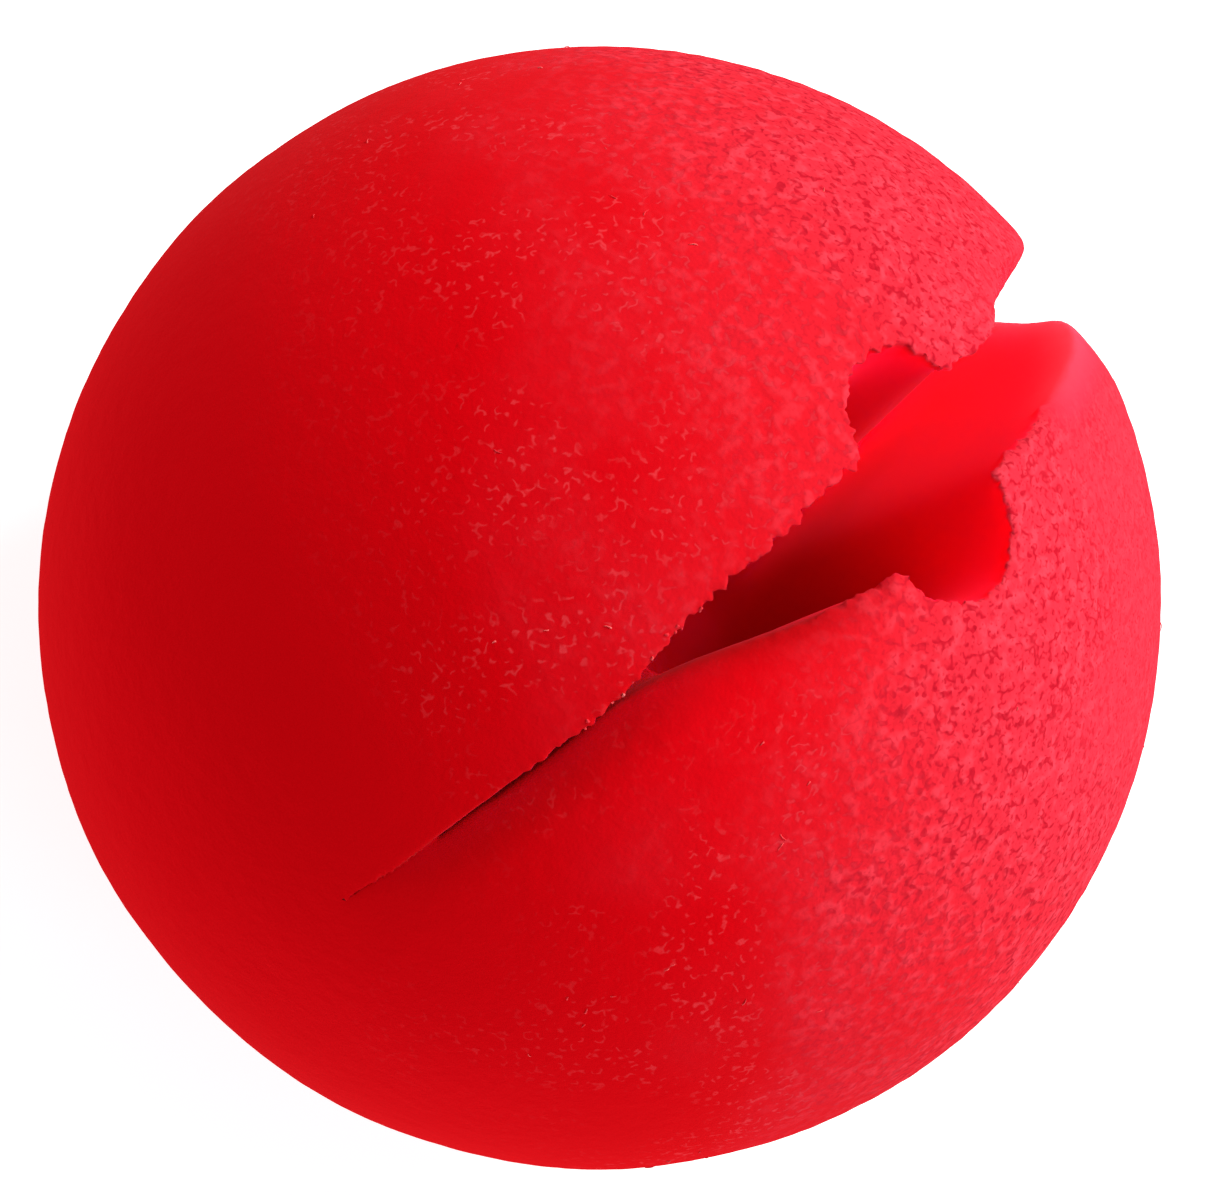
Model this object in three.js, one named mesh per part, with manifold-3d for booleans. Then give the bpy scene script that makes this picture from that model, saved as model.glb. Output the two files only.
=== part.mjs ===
// Foam clown nose: one ball of soft foam with a knife slit and a punched hole for the wearer's nose.
// Millimetres, +Z up. The hole faces up, and the slit runs along X through it.
import * as THREE from 'three';
import { mergeVertices } from 'three/addons/utils/BufferGeometryUtils.js';
import Module from 'manifold-3d';

const wasm = await Module();
wasm.setup();

// Driving sizes. The slit's ends are angles from the hole, seen from the ball's centre.
const ballDiameter = 50;
const restFlatDiameter = 6;
const slitShutEnd = -75;
const slitOpenEnd = 80;
const slitFloorGap = 0.6;
const punchDiameter = 6.4;
const punchDepth = 22;

// Worked out from the driving sizes, with the ball's centre at the origin
const ballRadius = ballDiameter / 2;
const restFlatRadius = restFlatDiameter / 2;
const ballCentreHeight = Math.sqrt(ballRadius ** 2 - restFlatRadius ** 2);
const punchFloorHeight = ballRadius - punchDepth;
const cutterTop = ballRadius + 4;

// The punched hole: its halves all but meet from the slit's floor down, and stand apart at the surface
// with the lips. The shares are of that distance.
const punchRadius = punchDiameter / 2;
const punchHalfAbove = new THREE.Vector2(0, -0.2);
const punchHalfBelow = new THREE.Vector2(-1.6, -5.0);
const punchMiddle = punchHalfAbove.clone().lerp(punchHalfBelow, 0.5);
const punchArcSteps = 14;
const punchShutShare = 0.06;
const punchOpenShare = 1;

// Sections across the slit, from the end that is pressed shut to the end that gapes.
// angle: degrees along the slit from the hole. above, below: where each lip stands, mm along Y.
// floor: middle of the knife line at the slit's floor. rollWide, rollDeep: rounding of the lip below.
const slitSections = [
  { angle: slitShutEnd, above: 0.1, below: -0.2, floor: 0.0, rollWide: 0.3, rollDeep: 0.1 },
  { angle: -66, above: 0.1, below: -0.3, floor: -0.1, rollWide: 1.6, rollDeep: 0.7 },
  { angle: -55, above: 0.1, below: -0.4, floor: -0.2, rollWide: 2.6, rollDeep: 1.3 },
  { angle: -46, above: 0.1, below: -0.5, floor: -0.3, rollWide: 3.0, rollDeep: 1.5 },
  { angle: -38, above: 0.1, below: -0.6, floor: -0.5, rollWide: 2.8, rollDeep: 1.4 },
  { angle: -32, above: 0.1, below: -1.2, floor: -0.9, rollWide: 2.2, rollDeep: 1.1 },
  { angle: -25, above: 0.1, below: -2.5, floor: -1.5, rollWide: 1.6, rollDeep: 0.8 },
  { angle: -18, above: 0.1, below: -3.8, floor: -2.0, rollWide: 1.0, rollDeep: 0.5 },
  { angle: -12, above: 0.1, below: -4.5, floor: -2.4, rollWide: 0.6, rollDeep: 0.4 },
  { angle: 0, above: 0.1, below: -4.5, floor: -2.6, rollWide: 0.6, rollDeep: 0.4 },
  { angle: 15, above: 0.1, below: -4.4, floor: -2.5, rollWide: 0.6, rollDeep: 0.4 },
  { angle: 30, above: 0.2, below: -4.1, floor: -2.4, rollWide: 1.6, rollDeep: 0.5 },
  { angle: 42, above: 0.2, below: -3.8, floor: -2.3, rollWide: 3.8, rollDeep: 0.8 },
  { angle: 50, above: 0.2, below: -3.7, floor: -2.2, rollWide: 4.4, rollDeep: 0.8 },
  { angle: 58, above: 0.1, below: -3.8, floor: -2.1, rollWide: 3.0, rollDeep: 0.6 },
  { angle: 66, above: 0.0, below: -3.7, floor: -2.0, rollWide: 1.6, rollDeep: 0.4 },
  { angle: 72, above: -0.3, below: -3.2, floor: -1.9, rollWide: 0.8, rollDeep: 0.2 },
  { angle: 77, above: -0.9, below: -2.6, floor: -1.8, rollWide: 0.4, rollDeep: 0.1 },
  { angle: slitOpenEnd, above: -1.5, below: -2.0, floor: -1.8, rollWide: 0.2, rollDeep: 0.1 },
];
const slitStations = 48;
const rollSteps = 5;

// A closed skin as a solid that can be joined and cut
function solidFrom(geometry) {
  const bare = new THREE.BufferGeometry();
  bare.setAttribute('position', geometry.getAttribute('position'));
  bare.setIndex(geometry.getIndex());
  const welded = mergeVertices(bare, 1e-4);
  const corners = welded.getIndex().array;
  const triangles = [];
  for (let i = 0; i < corners.length; i += 3) {
    const [a, b, c] = [corners[i], corners[i + 1], corners[i + 2]];
    if (a !== b && b !== c && c !== a) triangles.push(a, b, c);
  }
  return new wasm.Manifold(new wasm.Mesh({
    numProp: 3,
    vertProperties: new Float32Array(welded.getAttribute('position').array),
    triVerts: new Uint32Array(triangles),
  }));
}

// The skin of a solid, for its mesh
function geometryFrom(solid) {
  const mesh = solid.getMesh();
  const geometry = new THREE.BufferGeometry();
  geometry.setAttribute('position', new THREE.BufferAttribute(new Float32Array(mesh.vertProperties), 3));
  geometry.setIndex(new THREE.BufferAttribute(new Uint32Array(mesh.triVerts), 1));
  geometry.computeVertexNormals();
  return geometry;
}

// The ball, turned about Z with its centre at the origin, and the small flat that it rests on
function ballSolid() {
  const rings = 52;
  const segments = 96;
  const lowest = -Math.acos(restFlatRadius / ballRadius);
  const profile = [new THREE.Vector2(0, -ballCentreHeight)];
  for (let i = 0; i < rings; i += 1) {
    const angle = THREE.MathUtils.lerp(lowest, Math.PI / 2, i / rings);
    profile.push(new THREE.Vector2(ballRadius * Math.cos(angle), ballRadius * Math.sin(angle)));
  }
  profile.push(new THREE.Vector2(0, ballRadius));
  const ball = new THREE.LatheGeometry(profile, segments);
  ball.rotateX(Math.PI / 2);
  return solidFrom(ball);
}

// Where an angle along the slit falls along X
function alongSlit(angle) {
  return ballRadius * Math.sin(THREE.MathUtils.degToRad(angle));
}

// Height of the slit's straight floor, which runs from one end of the slit to the other
function slitFloorHeight(x) {
  const shutHeight = ballRadius * Math.cos(THREE.MathUtils.degToRad(slitShutEnd));
  const openHeight = ballRadius * Math.cos(THREE.MathUtils.degToRad(slitOpenEnd));
  return THREE.MathUtils.mapLinear(x, alongSlit(slitShutEnd), alongSlit(slitOpenEnd), shutHeight, openHeight);
}

// Height of the ball's surface over a place in plan, but never under the slit's floor
function surfaceHeight(x, y) {
  const square = ballRadius ** 2 - x ** 2 - y ** 2;
  return Math.max(Math.sqrt(Math.max(square, 0)), slitFloorHeight(x));
}

// One closed outline across the slit, in the plane that stands at its place along X
function slitOutline({ angle, above, below, floor, rollWide, rollDeep }) {
  const x = alongSlit(angle);
  const floorHeight = slitFloorHeight(x) - slitFloorGap / 2;
  const outline = [
    new THREE.Vector3(x, above, cutterTop),
    new THREE.Vector3(x, above, surfaceHeight(x, above)),
    new THREE.Vector3(x, floor + slitFloorGap / 2, floorHeight),
    new THREE.Vector3(x, floor - slitFloorGap / 2, floorHeight),
  ];
  for (let i = 0; i <= rollSteps; i += 1) {
    const share = i / rollSteps;
    const y = below - rollWide * share;
    const z = surfaceHeight(x, y) - rollDeep * (1 - share) ** 2;
    outline.push(new THREE.Vector3(x, y, z));
  }
  outline.push(new THREE.Vector3(x, below - rollWide, cutterTop));
  return outline;
}

// One closed outline of the punched hole at a height: a circle cut in half, its halves moved apart
function punchOutline(height, apartShare) {
  const across = punchHalfBelow.clone().sub(punchHalfAbove).angle() + Math.PI / 2;
  const outline = [];
  for (const [half, start] of [[punchHalfAbove, across + Math.PI], [punchHalfBelow, across]]) {
    const centre = punchMiddle.clone().lerp(half, apartShare);
    for (let i = 0; i <= punchArcSteps; i += 1) {
      const turn = start - (i / punchArcSteps) * Math.PI;
      const x = centre.x + punchRadius * Math.cos(turn);
      const y = centre.y + punchRadius * Math.sin(turn);
      outline.push(new THREE.Vector3(x, y, height));
    }
  }
  return outline;
}

// A closed skin through outlines that all have the same number of points.
// flatten gives a point's place in the plane of its outline, to fill the two ends.
function loftSolid(outlines, flatten) {
  const count = outlines[0].length;
  const lastRing = (outlines.length - 1) * count;
  const index = [];
  for (let ring = 0; ring < lastRing; ring += count) {
    for (let i = 0; i < count; i += 1) {
      const a = ring + i;
      const b = ring + ((i + 1) % count);
      index.push(a, a + count, b, b, a + count, b + count);
    }
  }
  for (const [a, b, c] of THREE.ShapeUtils.triangulateShape(outlines[0].map(flatten), [])) {
    index.push(a, c, b);
  }
  for (const [a, b, c] of THREE.ShapeUtils.triangulateShape(outlines.at(-1).map(flatten), [])) {
    index.push(lastRing + a, lastRing + b, lastRing + c);
  }
  const geometry = new THREE.BufferGeometry().setFromPoints(outlines.flat());
  geometry.setIndex(index);
  return solidFrom(geometry);
}

// The sections with smooth steps between them
function slitStationList() {
  const columns = ['above', 'below', 'floor', 'rollWide', 'rollDeep'];
  const angles = slitSections.map((section) => section.angle);
  const values = slitSections.flatMap((section) => columns.map((column) => section[column]));
  const between = new THREE.CubicInterpolant(angles, values, columns.length, []);
  const stations = [];
  for (let i = 0; i <= slitStations; i += 1) {
    const angle = THREE.MathUtils.lerp(slitShutEnd, slitOpenEnd, i / slitStations);
    const [above, below, floor, rollWide, rollDeep] = between.evaluate(angle);
    stations.push({ angle, above, below, floor, rollWide, rollDeep });
  }
  return stations;
}

// The space that the knife slit leaves open
function slitSolid() {
  return loftSolid(slitStationList().map(slitOutline), (point) => new THREE.Vector2(point.y, point.z));
}

// The space that the punched hole leaves open, with a flat end
function punchSolid() {
  const outlines = [
    punchOutline(punchFloorHeight, punchShutShare),
    punchOutline(slitFloorHeight(0), punchShutShare),
    punchOutline(ballRadius, punchOpenShare),
    punchOutline(cutterTop, punchOpenShare),
  ];
  return loftSolid(outlines, (point) => new THREE.Vector2(point.x, point.y));
}

// The one piece of foam
function foamBall() {
  const solid = ballSolid().subtract(slitSolid()).subtract(punchSolid());
  const foam = new THREE.MeshStandardMaterial({ color: 0xe20718, roughness: 0.95, metalness: 0 });
  const mesh = new THREE.Mesh(geometryFrom(solid), foam);
  mesh.name = 'foam_ball';
  mesh.position.z = ballCentreHeight;
  return mesh;
}

const clownNose = new THREE.Group();
clownNose.name = 'clown_nose';
clownNose.add(foamBall());

export default clownNose;
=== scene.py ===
# Foam clown nose: a soft skin made from the frame's solid, its torn nap, a pale floor and soft light.
# Metres, in the frame's axes: +Z out of the nose hole, +X along the slit, +Y across it.
import math

import bmesh
import bpy
import numpy as np
from mathutils import Matrix, Quaternion, Vector, noise
from mathutils.kdtree import KDTree


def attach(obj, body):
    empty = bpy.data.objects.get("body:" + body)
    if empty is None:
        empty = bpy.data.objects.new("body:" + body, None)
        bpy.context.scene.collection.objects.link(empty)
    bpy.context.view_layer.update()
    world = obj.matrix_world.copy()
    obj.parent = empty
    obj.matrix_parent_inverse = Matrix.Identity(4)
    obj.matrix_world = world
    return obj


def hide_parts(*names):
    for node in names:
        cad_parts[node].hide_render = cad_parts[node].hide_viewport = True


MM = 0.001

# The ball, as the part's source has it
BALL_RADIUS = 25 * MM
REST_FLAT_RADIUS = 3 * MM

# Skin: an even mesh of the solid, rounded inside and thinned
SKIN_VOXEL = 0.2 * MM
SKIN_TRIANGLES = 180_000
TRUE_BALL_DEPTH = 0.03 * MM
INNER_ROUNDS = 200

# Lips: edges of the solid near the ball's surface that join a wall of the cuts to the ball
WALL_FACING = 0.45
BALL_FACING = 0.50
LIP_DEPTH = 2.2 * MM
SLIVER = 0.01 * MM**2
LIP_STEP = 0.08 * MM

# Sizes at the lips, in millimetres
UPPER_LIP_Y = 0.1
LIP_WIDTH = 0.50
SOFT_WIDTH = 1.4
ROLL_WIDTH = 1.3
SHADE_WIDTH = 1.3
GROOVE_WIDTH = 1.0
RAISED_WIDTH = 1.5
LIP_BULGE = 0.55
LIP_HOLLOW = 0.65
HOLLOW_X = 12.3
HOLLOW_WIDTH = 2.2
UNDERCUT = 0.45
UNDERCUT_DEPTHS = (0.1, 0.7, 2.5, 5.0)
LIPS_OVERLAP = 0.12

# The gap that is pressed shut, in millimetres: its width at one place along X, and how it widens
SHUT_GAP = 0.40
SHUT_GAP_X = -22.8
SHUT_GAP_SLOPE = 0.0405
SHUT_GAP_LIMITS = (0.25, 0.90)

# The fold below the shut lips, where a band of shade is painted and the skin is pressed in, and the calm
# patch of nap beside it, in millimetres
FOLD_Y = -1.1
FOLD_WIDTH = 1.3
FOLD_PRESSED_IN = 0.15
CALM_PLACE = (-14, -3)
CALM_SIZE = (8, 3)

# Uneven softness of the skin: heights in millimetres and sizes
SWELL_HEIGHT = 0.09
SWELL_SIZE = 7 * MM
LUMP_HEIGHT = 0.03
LEAST_LUMP_HEIGHT = 0.02
LUMP_SIZE = 0.75 * MM

# Torn teeth: height in millimetres, size and seed of each noise
TEETH_MEAN = 0.20
TEETH = ((0.25, 1.1 * MM, 7), (0.34, 0.42 * MM, 3), (0.20, 0.22 * MM, 4))
LOWER_TEETH_SHARE = 0.6

# Stretches of the slit along X, in millimetres: where each starts, is full, begins to fade, is gone
BULGE = (3.3, 5.5, 7.0, 9.4)
HALF_EDGE = (2.0, 4.0, 8.5, 10.5)
WIDE_EDGE = (-15.0, -12.0, -7.0, -4.0)
ROLLED = (-24.0, -19.0, -7.0, -4.0)
# GROOVE is where the groove's shade is lightened with painted light.
GROOVE = (-24.0, -20.0, -16.0, -12.0)
# LIP_SHADE, FOLD and GAP_TIP are where shade is painted: under the lower lip, in the fold and in the cut
# at the gap's tip.
LIP_SHADE = (-18.0, -15.0, -11.0, -4.0)
FOLD = (-25.0, -21.0, -11.0, -5.0)
GAP_TIP = (-14.0, -12.0, -9.0, -6.0)
UNDERCUT_LIP = (-17.0, -13.5, -5.0, -3.2)

# Camera: the photograph's view of the ball
VIEW_AZIMUTH = math.radians(-99.9)
VIEW_ELEVATION = math.radians(53.1)
VIEW_ROLL = math.radians(57.2)
VIEW_DISTANCE = 225 * MM
VIEW_LENS = 149.8
SENSOR_WIDTH = 36
AIM_RIGHT = 0.17 * MM
AIM_UP = 0.44 * MM

# Stage: a floor that glows like a lit sweep, two round lights and a pale room around them.
# The lights' places are shares of the camera's right, up and back.
FLOOR_WIDTH = 3.0
FLOOR_GLOW = 0.85
LIGHT_DISTANCE = 0.60
KEY_FROM = (0.72, 0.49, 0.50)
KEY_SIZE = 0.45
KEY_WATTS = 6.1
FILL_FROM = (0.72, -0.68, 0.12)
FILL_SIZE = 0.40
FILL_WATTS = 1.7
FILL_COLOUR = (0.95, 0.8, 1.0)
ROOM_STRENGTH = 0.36

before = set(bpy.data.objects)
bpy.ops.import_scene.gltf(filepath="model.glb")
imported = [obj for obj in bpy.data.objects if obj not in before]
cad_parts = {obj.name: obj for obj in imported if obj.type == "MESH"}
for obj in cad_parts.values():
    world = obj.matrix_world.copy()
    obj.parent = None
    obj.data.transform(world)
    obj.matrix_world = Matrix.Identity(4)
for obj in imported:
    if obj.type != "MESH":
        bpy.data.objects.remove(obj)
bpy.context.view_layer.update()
ball_centre = Vector((0, 0, math.sqrt(BALL_RADIUS**2 - REST_FLAT_RADIUS**2)))
chance = np.random.default_rng(11)


# Small helpers
def smooth_step(low, high, value):
    share = np.clip((value - low) / (high - low), 0, 1)
    return share * share * (3 - 2 * share)


def band(value, span):
    """1 between the middle two of four values, falling softly to 0 at the outer two."""
    start, full, fade, gone = span
    return smooth_step(start, full, value) * (1 - smooth_step(fade, gone, value))


def beside(gap, width):
    """1 at a line, falling softly to nothing within a few widths of it."""
    return np.exp(-((gap / width) ** 2))


def add_object(name, data):
    piece = bpy.data.objects.new(name, data)
    bpy.context.scene.collection.objects.link(piece)
    return piece


def vertex_array(mesh):
    flat = np.empty(len(mesh.vertices) * 3)
    mesh.vertices.foreach_get("co", flat)
    return flat.reshape(-1, 3)


def normal_array(mesh):
    flat = np.empty(len(mesh.vertices) * 3)
    mesh.vertex_normals.foreach_get("vector", flat)
    return flat.reshape(-1, 3)


def add_layer(mesh, name, values):
    layer = mesh.attributes.new(name, "FLOAT", "POINT")
    layer.data.foreach_set("value", values)


def layer_array(mesh, name):
    values = np.empty(len(mesh.vertices))
    mesh.attributes[name].data.foreach_get("value", values)
    return values


def noise_at(points, size, seed):
    """Smooth noise from about -1 to 1, whose lumps are about as big as size."""
    rows = points / size + np.array((17.3, 5.9, 11.7)) * seed
    return np.array([noise.noise(row) for row in rows.tolist()])


def with_modifier(mesh, kind, **settings):
    """The mesh as one modifier leaves it."""
    source = add_object("modifier_source", mesh)
    modifier = source.modifiers.new(kind, kind)
    for key, value in settings.items():
        setattr(modifier, key, value)
    depsgraph = bpy.context.evaluated_depsgraph_get()
    result = bpy.data.meshes.new_from_object(source.evaluated_get(depsgraph))
    bpy.data.objects.remove(source)
    bpy.data.meshes.remove(mesh)
    return result


# Camera
def view_axes():
    """The camera's right, up and back directions."""
    level = math.cos(VIEW_ELEVATION)
    east, north = math.sin(VIEW_AZIMUTH), -math.cos(VIEW_AZIMUTH)
    back = Vector((level * east, level * north, math.sin(VIEW_ELEVATION)))
    turn = back.to_track_quat("Z", "Y") @ Quaternion((0, 0, 1), VIEW_ROLL)
    return turn @ Vector((1, 0, 0)), turn @ Vector((0, 1, 0)), back


def add_camera():
    right, up, back = view_axes()
    data = bpy.data.cameras.new("photo_camera")
    data.lens = VIEW_LENS
    data.sensor_width = SENSOR_WIDTH
    data.sensor_fit = "HORIZONTAL"
    camera = add_object("photo_camera", data)
    place = ball_centre + right * AIM_RIGHT + up * AIM_UP + back * VIEW_DISTANCE
    camera.matrix_world = Matrix.Translation(place) @ Matrix((right, up, back)).transposed().to_4x4()
    bpy.context.scene.camera = camera


# Skin
def welded_solid():
    """The frame's solid as a bmesh with shared corners."""
    solid = bmesh.new()
    solid.from_mesh(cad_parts["foam_ball"].data)
    bmesh.ops.remove_doubles(solid, verts=solid.verts, dist=0.001 * MM)
    return solid


def find_lips(solid):
    """Points along the lips, in a tree, with the way into the gap and the reach into it at each."""
    points, ways = [], []
    for edge in solid.edges:
        if len(edge.link_faces) != 2:
            continue
        a, b = (corner.co for corner in edge.verts)
        radial = (a + b) / 2 - ball_centre
        out = radial.normalized()
        wall, ball = sorted(edge.link_faces, key=lambda face: face.normal.dot(radial))
        turns_in = wall.normal.dot(out) <= WALL_FACING and ball.normal.dot(out) >= BALL_FACING
        if not turns_in or BALL_RADIUS - radial.length > LIP_DEPTH or wall.calc_area() < SLIVER:
            continue
        steps = max(1, math.ceil((b - a).length / LIP_STEP))
        points.extend(a.lerp(b, i / steps) for i in range(steps + 1))
        ways.extend([tuple(wall.normal)] * (steps + 1))
    tree = KDTree(len(points))
    for i, point in enumerate(points):
        tree.insert(point, i)
    tree.balance()
    ways = np.array(ways)
    return tree, ways, lip_reach(np.array(points), ways)


def lip_reach(points, ways):
    """How far each lip reaches into the gap, in millimetres: torn teeth, a bulge and a hollow."""
    x = points[:, 0] / MM
    upper = (ways[:, 1] < 0).astype(float)
    teeth = TEETH_MEAN
    for height, size, seed in TEETH:
        teeth = teeth + height * noise_at(points, size, seed)
    bulge = LIP_BULGE * band(x, BULGE) - LIP_HOLLOW * beside(x - HOLLOW_X, HOLLOW_WIDTH)
    return np.maximum(teeth, 0) * ragged_share(x, upper) + bulge * upper


def ragged_share(x, upper):
    """How ragged each lip is: torn beside the hole, softer where pressed shut, smooth where it gapes."""
    gaping_upper = (1 - 0.7 * smooth_step(3.5, 5.5, x)) * (1 - smooth_step(6.0, 10.0, x))
    gaping_lower = 1 - smooth_step(6.0, 9.5, x)
    shut_upper = 0.55 * smooth_step(-21.5, -18.0, x) + 0.45 * smooth_step(-15.0, -10.0, x)
    shut_lower = smooth_step(-13.0, -6.0, x)
    upper_share = upper * gaping_upper * shut_upper
    return upper_share + LOWER_TEETH_SHARE * (1 - upper) * gaping_lower * shut_lower


def keep_outer_shell(mesh):
    """Drops the closed pockets that the even mesh leaves where the slit is pressed shut."""
    shell = bmesh.new()
    shell.from_mesh(mesh)
    unseen = set(shell.verts)
    parts = []
    while unseen:
        start = unseen.pop()
        part, edge_of_part = [start], [start]
        while edge_of_part:
            corner = edge_of_part.pop()
            for edge in corner.link_edges:
                other = edge.other_vert(corner)
                if other in unseen:
                    unseen.remove(other)
                    part.append(other)
                    edge_of_part.append(other)
        parts.append(part)
    parts.sort(key=len)
    for part in parts[:-1]:
        bmesh.ops.delete(shell, geom=part, context="VERTS")
    shell.to_mesh(mesh)
    shell.free()


def toward_lit_side(points):
    """From -1 on the ball's side turned away from the light to 1 on the side turned toward it, along the
    camera's right and a little up.
    """
    radial = points - np.array(ball_centre)
    radial /= np.linalg.norm(radial, axis=1)[:, None]
    right, up, _ = view_axes()
    return radial @ np.array(right * 0.97 + up * 0.25)


def lip_masks(x, lower, gap, cut):
    """Masks beside the lips, and the mask of the cuts, which keeps off the lips' edges and also takes in
    the soft lip and the groove below the shut lips; in the groove the cuts' bright red and glow are
    painted light that lightens its shade.
    """
    soft = lower * beside(gap, SOFT_WIDTH) * smooth_step(6.0, 10.0, x)
    wide = np.maximum(lower * band(x, WIDE_EDGE), (1 - lower) * smooth_step(9.0, 11.0, x))
    edge = beside(gap, 0.4 + 0.8 * wide) * (1 - 0.5 * band(x, HALF_EDGE))
    edge *= 1 - lower * (0.7 * smooth_step(-6.0, -4.0, x) + 0.3 * smooth_step(2.0, 4.0, x))
    # The groove below the shut lips is lightened with the cut red and glow: painted light in its shade.
    groove = lower * beside(gap, GROOVE_WIDTH) * band(x, GROOVE)
    rolled = np.maximum(lower * band(x, ROLLED), 0.2 * smooth_step(7.0, 11.0, x))
    return {
        "cut": np.maximum.reduce([cut * (1 - 0.9 * edge), 0.75 * soft, 0.45 * groove]),
        "soft": soft,
        "lip": beside(gap, LIP_WIDTH),
        "rolled": beside(gap, ROLL_WIDTH) * rolled,
        "raised": 0.85 * (gap < RAISED_WIDTH) * (1 - smooth_step(-24.2, -23.2, x)),
    }


def shade_mask(x, y, z, lower, gap, depth, cut):
    """Where the foam shades itself: in the broad fold, on the lower lip and down in the cuts."""
    fold = np.where(y < 0.3, beside(y - FOLD_Y, FOLD_WIDTH), 0) * band(x, FOLD) * smooth_step(4.5, 6.5, z)
    lip = lower * beside(gap, SHADE_WIDTH) * band(x, LIP_SHADE)
    deep = cut * smooth_step(0.3, 1.5, depth) * smooth_step(0.0, 16.0, depth - 0.9 * x)
    deep *= 0.95 - 0.45 * smooth_step(-1.5, 3.0, x)
    deep = np.maximum(deep, 0.7 * cut * band(x, GAP_TIP))
    return np.maximum.reduce([0.52 * fold, 0.70 * lip, deep])


def nap_masks(points, x, y):
    """Where the side toward the light is painted paler as painted light, where the nap stands in lumps,
    and where torn threads show near the edge of the light. Beside the fold it is calm.
    """
    calm = beside(x - CALM_PLACE[0], CALM_SIZE[0]) * beside(y - CALM_PLACE[1], CALM_SIZE[1])
    toward = toward_lit_side(points) + 0.20 * noise_at(points, 8 * MM, 5)
    toward += 0.10 * noise_at(points, 3 * MM, 6)
    patches = smooth_step(-0.45, 0.25, noise_at(points, 3.5 * MM, 9))
    lump = smooth_step(-0.05, 0.60, toward) * (1 - 0.7 * smooth_step(0.75, 0.98, toward))
    return {
        # Painted light: the side toward the light is painted paler.
        "lit_side": smooth_step(-0.15, 0.95, toward) * (1 - 0.8 * calm),
        "lump": lump * (1 - calm),
        # Threads lie in a band near the edge of the light; their pale colour is partly a painted
        # highlight.
        "thread": beside(toward - 0.04, 0.27) * patches * (1 - calm),
    }


def add_masks(mesh, lips):
    """The masks that the skin's shape and its material read. Places and depths are in millimetres."""
    points = vertex_array(mesh)
    normals = normal_array(mesh)
    radial = points - np.array(ball_centre)
    distance = np.linalg.norm(radial, axis=1)
    depth = (BALL_RADIUS - distance) / MM
    facing = np.einsum("ij,ij->i", radial, normals) / distance
    x, y, z = (radial / MM).T
    tree, ways, reach = lips
    found = [tree.find(row) for row in points.tolist()]
    gap = np.array([metres for _, _, metres in found]) / MM
    nearest = [i for _, i, _ in found]
    way = ways[nearest]
    lower = (way[:, 1] > 0).astype(float)

    cut = np.maximum(1 - smooth_step(0.15, 0.45, facing), smooth_step(1.9, 2.8, depth))
    cut[points[:, 2] < 1 * MM] = 0
    under = smooth_step(0.2, 0.6, -normals[:, 1]) * band(depth, UNDERCUT_DEPTHS) * band(x, UNDERCUT_LIP)
    layers = {
        **lip_masks(x, lower, gap, cut),
        **nap_masks(points, x, y),
        # Painted shade: the fold layer holds shade painted in the fold, under the lower lip and down in
        # the cuts.
        "fold": shade_mask(x, y, z, lower, gap, depth, cut),
        "under": under * cut,
        "reach": reach[nearest],
        "way_x": way[:, 0],
        "way_y": way[:, 1],
        "way_z": way[:, 2],
    }
    for name, values in layers.items():
        add_layer(mesh, name, values)


def press_lips_shut(points, depth):
    """Lays the upper lip over the lower one where the slit, which widens along X, is pressed shut."""
    x, y, z = ((points - np.array(ball_centre)) / MM).T
    gap = np.clip(SHUT_GAP + SHUT_GAP_SLOPE * (x - SHUT_GAP_X), *SHUT_GAP_LIMITS)
    upper = np.where(y > UPPER_LIP_Y - gap / 2, beside(np.maximum(y - UPPER_LIP_Y, 0), 1.0), 0)
    shut = smooth_step(5.4, 6.4, z) * (1 - smooth_step(-17.0, -11.5, x))
    share = shut * (1 - smooth_step(3.0, 6.0, depth)) * upper
    points[:, 1] -= (gap + LIPS_OVERLAP) * share * MM


def rounded_inside(points, mesh, weight, rounds):
    """Rounds off the inner edges, by moving each point towards the middle of its neighbours."""
    ends = np.empty(len(mesh.edges) * 2, dtype=np.int64)
    mesh.edges.foreach_get("vertices", ends)
    ends = ends.reshape(-1, 2)
    ends = ends[(weight[ends] > 0).any(axis=1)]
    used, slots = np.unique(ends, return_inverse=True)
    a, b = slots.reshape(-1, 2).T
    neighbours = np.bincount(slots.ravel(), minlength=len(used))
    share = weight[used]
    for axis in range(3):
        value = points[used, axis]
        for _ in range(rounds):
            around = np.bincount(a, value[b], len(used)) + np.bincount(b, value[a], len(used))
            value = value + (around / neighbours - value) * share
        points[used, axis] = value


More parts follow.
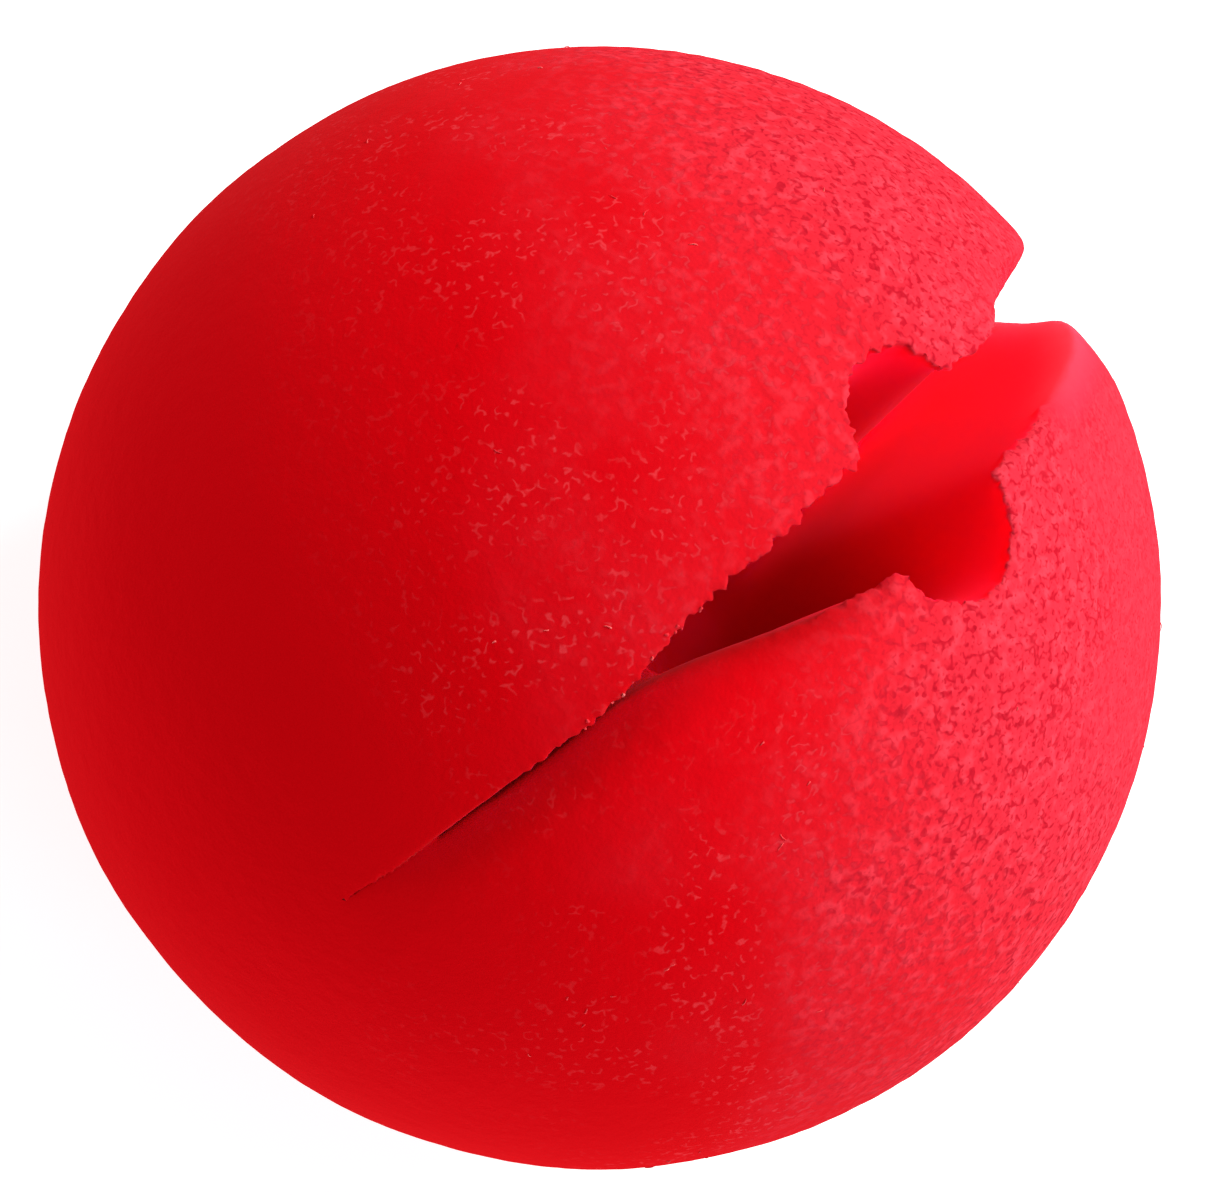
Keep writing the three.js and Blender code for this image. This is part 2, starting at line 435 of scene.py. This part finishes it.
def shape_skin(mesh):
    """A true round ball with uneven softness, lips that meet or stand ragged, and rounded inner edges."""
    cut, lip, lump, fold = (layer_array(mesh, name) for name in ("cut", "lip", "lump", "fold"))
    way = np.stack([layer_array(mesh, name) for name in ("way_x", "way_y", "way_z")], axis=1)
    points = vertex_array(mesh)
    radial = points - np.array(ball_centre)
    distance = np.linalg.norm(radial, axis=1)
    depth = BALL_RADIUS - distance
    outside = depth < TRUE_BALL_DEPTH
    points[outside] = np.array(ball_centre) + radial[outside] / distance[outside, None] * BALL_RADIUS
    rise = np.where(depth < LIP_DEPTH, np.maximum(depth, 0), 0) * layer_array(mesh, "raised")
    points += radial / distance[:, None] * rise[:, None]
    press_lips_shut(points, depth / MM)
    inner = 0.85 * cut * smooth_step(0.4, 1.8, depth / MM)
    rounded_inside(points, mesh, np.maximum(inner, 0.18 * layer_array(mesh, "rolled")), INNER_ROUNDS)
    mesh.vertices.foreach_set("co", points.ravel())
    mesh.update()

    lump_height = LEAST_LUMP_HEIGHT + LUMP_HEIGHT * lump
    push = SWELL_HEIGHT * noise_at(points, SWELL_SIZE, 1) + lump_height * noise_at(points, LUMP_SIZE, 2)
    # The skin is pressed in where the fold layer paints shade.
    push = push * (1 - 0.8 * cut) - FOLD_PRESSED_IN * fold * (1 - cut)
    reach = layer_array(mesh, "reach") * lip
    points = points + (normal_array(mesh) * push[:, None] + way * reach[:, None]) * MM
    points[:, 1] += UNDERCUT * layer_array(mesh, "under") * MM
    points[:, 2] = np.maximum(points[:, 2], 0)
    mesh.vertices.foreach_set("co", points.ravel())
    mesh.update()


def build_skin_mesh():
    solid = welded_solid()
    lips = find_lips(solid)
    mesh = bpy.data.meshes.new("foam_skin")
    solid.to_mesh(mesh)
    solid.free()
    mesh = with_modifier(mesh, "REMESH", mode="VOXEL", voxel_size=SKIN_VOXEL)
    keep_outer_shell(mesh)
    add_masks(mesh, lips)
    shape_skin(mesh)
    mesh = with_modifier(mesh, "DECIMATE", ratio=SKIN_TRIANGLES / (2 * len(mesh.polygons)))
    mesh.name = "foam_skin"
    mesh.shade_smooth()
    return mesh


# Torn nap. Strands by the place they grow: how many, then spans of length, width and lift in millimetres
STRAND_SIDES = 4
STRAND_RINGS = 4
STREWN_STRANDS = (70, (0.18, 0.42), (0.05, 0.09), (0.02, 0.06))
LIP_STRANDS = (12, (0.12, 0.22), (0.12, 0.18), (0.02, 0.05))
ROOT_DEPTH = 0.02 * MM


def strand_rows(root, out, along, length, width, lift, curl):
    """Corners and faces of one torn strand, which leaves the skin, bends over and comes to a tip."""
    side = np.cross(out, along)
    corners = []
    for ring in range(STRAND_RINGS):
        t = ring / STRAND_RINGS
        middle = root + along * length * t + out * lift * math.sin(math.pi * min(t + 0.1, 1))
        middle = middle + side * curl * t * t
        radius = width / 2 * (1 - 0.55 * t)
        for i in range(STRAND_SIDES):
            turn = 2 * math.pi * i / STRAND_SIDES
            corners.append(middle + (side * math.cos(turn) + out * math.sin(turn)) * radius)
    corners.append(root + along * length + side * curl + out * lift * 0.3)
    tip = len(corners) - 1
    faces = []
    for ring in range(STRAND_RINGS - 1):
        for i in range(STRAND_SIDES):
            a = ring * STRAND_SIDES + i
            b = ring * STRAND_SIDES + (i + 1) % STRAND_SIDES
            faces.append((a, b, b + STRAND_SIDES, a + STRAND_SIDES))
    last = (STRAND_RINGS - 1) * STRAND_SIDES
    for i in range(STRAND_SIDES):
        faces.append((last + i, last + (i + 1) % STRAND_SIDES, tip))
    faces.append(tuple(range(STRAND_SIDES - 1, -1, -1)))
    return corners, faces


def nap_mesh(skin):
    """Loose strands: fine ones strewn over the nap, and stubby ones along the lip that is pressed shut."""
    points = vertex_array(skin)
    normals = normal_array(skin)
    cut, lip, thread, way_y = (layer_array(skin, name) for name in ("cut", "lip", "thread", "way_y"))
    x = points[:, 0] / MM
    strewn = (0.1 + thread) * (cut < 0.05) * (lip < 0.1) * (points[:, 2] > 2 * MM)
    shut_lip = (lip > 0.6) * (cut < 0.5) * (x > -19) * (x < -11.5) * (way_y < 0)
    corners, faces, tones = [], [], []
    for weight, (count, *spans) in ((strewn, STREWN_STRANDS), (shut_lip, LIP_STRANDS)):
        for i in chance.choice(len(points), count, replace=False, p=weight / weight.sum()):
            out = normals[i]
            along = np.cross(out, chance.normal(size=3))
            along /= np.linalg.norm(along)
            along = along + out * chance.uniform(0.0, 0.15)
            along /= np.linalg.norm(along)
            length, width, lift = (chance.uniform(*span) * MM for span in spans)
            curl = chance.uniform(-0.6, 0.6) * length
            base = len(corners)
            root = points[i] - out * ROOT_DEPTH
            rows, loops = strand_rows(root, out, along, length, width, lift, curl)
            corners.extend(rows)
            faces.extend(tuple(base + corner for corner in loop) for loop in loops)
            tones.extend([chance.uniform(0, 1)] * len(rows))
    mesh = bpy.data.meshes.new("torn_nap")
    mesh.from_pydata([tuple(corner) for corner in corners], [], faces)
    add_layer(mesh, "tone", np.array(tones))
    mesh.shade_smooth()
    return mesh


# Materials
class Nodes:
    """Short calls for building a material's node tree."""

    def __init__(self, name):
        self.material = bpy.data.materials.new(name)
        self.material.use_nodes = True
        self.tree = self.material.node_tree
        self.shader = self.tree.nodes["Principled BSDF"]

    def add(self, kind, **settings):
        node = self.tree.nodes.new(kind)
        for key, value in settings.items():
            setattr(node, key, value)
        return node

    def feed(self, socket, value):
        if isinstance(value, bpy.types.NodeSocket):
            self.tree.links.new(value, socket)
        else:
            socket.default_value = value

    def math(self, operation, a, b=0.0):
        node = self.add("ShaderNodeMath", operation=operation)
        self.feed(node.inputs[0], a)
        self.feed(node.inputs[1], b)
        return node.outputs[0]

    def ramp(self, value, low, high, to_low=0.0, to_high=1.0):
        node = self.add("ShaderNodeMapRange", interpolation_type="SMOOTHSTEP")
        for socket, setting in zip(node.inputs, (value, low, high, to_low, to_high)):
            self.feed(socket, setting)
        return node.outputs[0]

    def place_in_mm(self, shift=(0.0, 0.0, 0.0)):
        node = self.add("ShaderNodeVectorMath", operation="MULTIPLY_ADD")
        self.feed(node.inputs[0], self.add("ShaderNodeTexCoord").outputs["Object"])
        self.feed(node.inputs[1], (1 / MM,) * 3)
        self.feed(node.inputs[2], shift)
        return node.outputs[0]

    def noise(self, vector, size, detail=1.0):
        node = self.add("ShaderNodeTexNoise")
        self.feed(node.inputs["Vector"], vector)
        self.feed(node.inputs["Scale"], 1 / size)
        self.feed(node.inputs["Detail"], detail)
        return node.outputs["Fac"]

    def winding_lines(self, value, width):
        """1 along the lines where smooth noise crosses its middle, falling to 0 beside them."""
        return self.ramp(self.math("ABSOLUTE", self.math("SUBTRACT", value, 0.5)), width, 0.0)

    def mix(self, share, a, b):
        node = self.add("ShaderNodeMix", data_type="RGBA")
        self.feed(node.inputs[0], share)
        self.feed(node.inputs[6], a)
        self.feed(node.inputs[7], b)
        return node.outputs[2]

    def attribute(self, name):
        return self.add("ShaderNodeAttribute", attribute_name=name).outputs["Fac"]


DYED_RED = (0.55, 0.0004, 0.0030, 1)
# Painted light: the paler red on the side toward the light.
LIT_SIDE_RED = (0.60, 0.0245, 0.0430, 1)
# Painted highlight: the paler red on the tops of the lumps.
CREST_HIGHLIGHT_RED = (0.70, 0.0550, 0.0800, 1)
# Painted shade: the dark red in the winding hollows and the grain's specks.
PIT_SHADE_RED = (0.38, 0.0050, 0.0150, 1)
# Torn threads' pink, partly a painted highlight where the light grazes them.
THREAD_HIGHLIGHT_PINK = (0.75, 0.0900, 0.1050, 1)
# Clear red of the cut foam, partly its own colour and partly a painted glow, lifted near full in red.
CUT_RED_AND_GLOW = (0.97, 0.0040, 0.0280, 1)
LIP_PINK = (0.70, 0.0400, 0.0700, 1)
# Painted shade: the dark red mixed in where the fold, the lower lip and the deep cuts fall into shade.
PAINTED_SHADE_RED = (0.26, 0.0010, 0.0012, 1)
STRAND_RED = (0.64, 0.0250, 0.0350, 1)
STRAND_PALE = (0.78, 0.1600, 0.1500, 1)
SHEEN_PINK = (1, 0.60, 0.65, 1)
FLOOR_GREY = (0.50, 0.50, 0.50, 1)
FLOOR_PALE = (0.53, 0.53, 0.53, 1)

# Sizes in the foam's surface, in millimetres
CREST_SIZE = 0.62
PIT_SIZE = 0.56
PATCH_SIZE = 0.38
FUZZ_SIZE = 0.16
COARSE_RELIEF = (0.03, 0.17)
FINE_RELIEF = (0.012, 0.035)

# How far red light spreads inside the foam, and its share in red, green and blue
GLOW_REACH = 6 * MM
GLOW_SHARES = (1.0, 0.05, 0.05)


def foam_material():
    nodes = Nodes("foam")
    place = nodes.place_in_mm()
    aside = nodes.place_in_mm((40.0, 20.0, 30.0))
    outer = nodes.math("SUBTRACT", 1.0, nodes.attribute("cut"))
    # Painted light: the side toward the light is painted paler, on the outer skin only.
    lit_side = nodes.math("MULTIPLY", nodes.attribute("lit_side"), outer)
    lump = nodes.math("MULTIPLY", nodes.attribute("lump"), outer)

    # Soft lumps whose tops are painted paler as a painted highlight, short winding hollows between them
    # painted darker as painted shade, torn cell walls that catch the light, painted pale partly as a
    # highlight, and fine grain with specks of painted shade
    swell = nodes.noise(place, CREST_SIZE)
    # Painted highlight: the tops of the lumps are painted paler.
    crest_highlight = nodes.math("MULTIPLY", nodes.ramp(swell, 0.45, 0.70), lump)
    winding = nodes.noise(aside, PIT_SIZE)
    patches = nodes.noise(place, PATCH_SIZE, 0.0)
    # Painted shade: the short winding hollows between the lumps are painted darker.
    pit_shade = nodes.math("MULTIPLY", nodes.winding_lines(winding, 0.145), nodes.ramp(patches, 0.50, 0.58))
    pit_shade = nodes.math("MULTIPLY", pit_shade, lump)
    # Torn threads, painted pale partly as a highlight where the light grazes them.
    threads = nodes.math("MULTIPLY", nodes.winding_lines(winding, 0.080), nodes.ramp(patches, 0.53, 0.66))
    threads = nodes.math("MULTIPLY", threads, nodes.attribute("thread"))
    fuzz = nodes.noise(aside, FUZZ_SIZE, 0.0)
    # Painted shade: dark specks of fine grain on the side toward the light.
    grain = nodes.math("MULTIPLY", nodes.ramp(fuzz, 0.38, 0.24), nodes.math("MULTIPLY", lit_side, 0.7))

    # Relief in millimetres, on both sides of the skin so that it fades out level at the cuts
    coarse = nodes.ramp(lump, 0.0, 1.0, *COARSE_RELIEF)
    coarse = nodes.math("MULTIPLY", nodes.math("SUBTRACT", swell, 0.5), coarse)
    fine = nodes.ramp(lit_side, 0.0, 1.0, *FINE_RELIEF)
    fine = nodes.math("MULTIPLY", nodes.math("SUBTRACT", fuzz, 0.5), fine)
    height = nodes.math("MULTIPLY", nodes.math("ADD", coarse, fine), outer)
    bump = nodes.add("ShaderNodeBump")
    nodes.feed(bump.inputs["Strength"], 1.0)
    nodes.feed(bump.inputs["Distance"], MM)
    nodes.feed(bump.inputs["Height"], height)

    # Colour: deep dye; painted light paler on the side toward the light; a painted highlight on the lump
    # tops; painted shade in each pit and in the grain's specks; threads pale, partly a painted highlight;
    # clear red in the cuts, lifted to a painted glow; pink at the soft lip; painted shade in the fold,
    # under the lower lip and down in the cuts
    colour = nodes.mix(lit_side, DYED_RED, LIT_SIDE_RED)
    colour = nodes.mix(nodes.math("MULTIPLY", crest_highlight, 0.5), colour, CREST_HIGHLIGHT_RED)
    colour = nodes.mix(nodes.math("MAXIMUM", nodes.math("MULTIPLY", pit_shade, 0.95), grain), colour, PIT_SHADE_RED)
    colour = nodes.mix(nodes.math("MULTIPLY", threads, 0.28), colour, THREAD_HIGHLIGHT_PINK)
    # The cuts, the soft lip and the groove take the cut red: partly the cut foam's own colour, partly a
    # painted glow that lightens their shade.
    colour = nodes.mix(nodes.attribute("cut"), colour, CUT_RED_AND_GLOW)
    colour = nodes.mix(nodes.math("MULTIPLY", nodes.attribute("soft"), 0.85), colour, LIP_PINK)
    # Painted shade in the fold, under the lower lip and down in the cuts.
    colour = nodes.mix(nodes.math("MULTIPLY", nodes.attribute("fold"), 0.8), colour, PAINTED_SHADE_RED)

    shader = nodes.shader
    nodes.feed(shader.inputs["Base Color"], colour)
    nodes.feed(shader.inputs["Normal"], bump.outputs[0])
    nodes.feed(shader.inputs["Subsurface Weight"], nodes.attribute("cut"))
    shader.inputs["Subsurface Radius"].default_value = GLOW_SHARES
    shader.inputs["Subsurface Scale"].default_value = GLOW_REACH
    shader.inputs["Roughness"].default_value = 1.0
    shader.inputs["Specular IOR Level"].default_value = 0.0
    shader.inputs["Sheen Weight"].default_value = 0.02
    shader.inputs["Sheen Roughness"].default_value = 0.5
    shader.inputs["Sheen Tint"].default_value = SHEEN_PINK
    return nodes.material


def strand_material():
    nodes = Nodes("torn_strands")
    fuzz = nodes.noise(nodes.place_in_mm(), 0.12, 1.0)
    tone = nodes.math("MULTIPLY", nodes.attribute("tone"), nodes.attribute("tone"))
    tone = nodes.math("MULTIPLY", tone, nodes.math("MULTIPLY", fuzz, 1.6))
    nodes.feed(nodes.shader.inputs["Base Color"], nodes.mix(tone, STRAND_RED, STRAND_PALE))
    nodes.shader.inputs["Roughness"].default_value = 1.0
    nodes.shader.inputs["Specular IOR Level"].default_value = 0.05
    return nodes.material


def floor_material():
    nodes = Nodes("pale_floor")
    grain = nodes.noise(nodes.place_in_mm(), 25.0, 0.0)
    nodes.feed(nodes.shader.inputs["Base Color"], nodes.mix(grain, FLOOR_GREY, FLOOR_PALE))
    nodes.shader.inputs["Roughness"].default_value = 0.9
    nodes.shader.inputs["Emission Color"].default_value = (1, 1, 1, 1)
    nodes.shader.inputs["Emission Strength"].default_value = FLOOR_GLOW
    return nodes.material


# Pieces
def add_skin():
    mesh = build_skin_mesh()
    mesh.materials.clear()
    mesh.materials.append(foam_material())
    skin = add_object("foam_skin", mesh)
    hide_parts("foam_ball")
    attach(skin, "root")
    return skin


def add_nap(skin):
    mesh = nap_mesh(skin.data)
    mesh.materials.append(strand_material())
    nap = add_object("torn_nap", mesh)
    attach(nap, "root")


def add_floor():
    half = FLOOR_WIDTH / 2
    mesh = bpy.data.meshes.new("floor")
    corners = [(-half, -half, 0), (half, -half, 0), (half, half, 0), (-half, half, 0)]
    mesh.from_pydata(corners, [], [(0, 1, 2, 3)])
    mesh.materials.append(floor_material())
    floor = add_object("floor", mesh)


def add_area_light(name, shares, size, watts, colour=(1.0, 1.0, 1.0)):
    right, up, back = view_axes()
    direction = right * shares[0] + up * shares[1] + back * shares[2]
    data = bpy.data.lights.new(name, "AREA")
    data.shape = "DISK"
    data.size = size
    data.energy = watts
    data.color = colour
    light = add_object(name, data)
    light.location = ball_centre + direction.normalized() * LIGHT_DISTANCE
    light.rotation_euler = direction.to_track_quat("Z", "Y").to_euler()


def add_lights():
    add_area_light("key_light", KEY_FROM, KEY_SIZE, KEY_WATTS)
    add_area_light("low_fill", FILL_FROM, FILL_SIZE, FILL_WATTS, FILL_COLOUR)
    world = bpy.data.worlds.new("soft_room")
    world.use_nodes = True
    background = world.node_tree.nodes["Background"]
    background.inputs["Color"].default_value = (1, 1, 1, 1)
    background.inputs["Strength"].default_value = ROOM_STRENGTH
    bpy.context.scene.world = world


add_camera()
foam_skin = add_skin()
add_nap(foam_skin)
add_floor()
add_lights()
bpy.context.scene.view_settings.view_transform = "Standard"
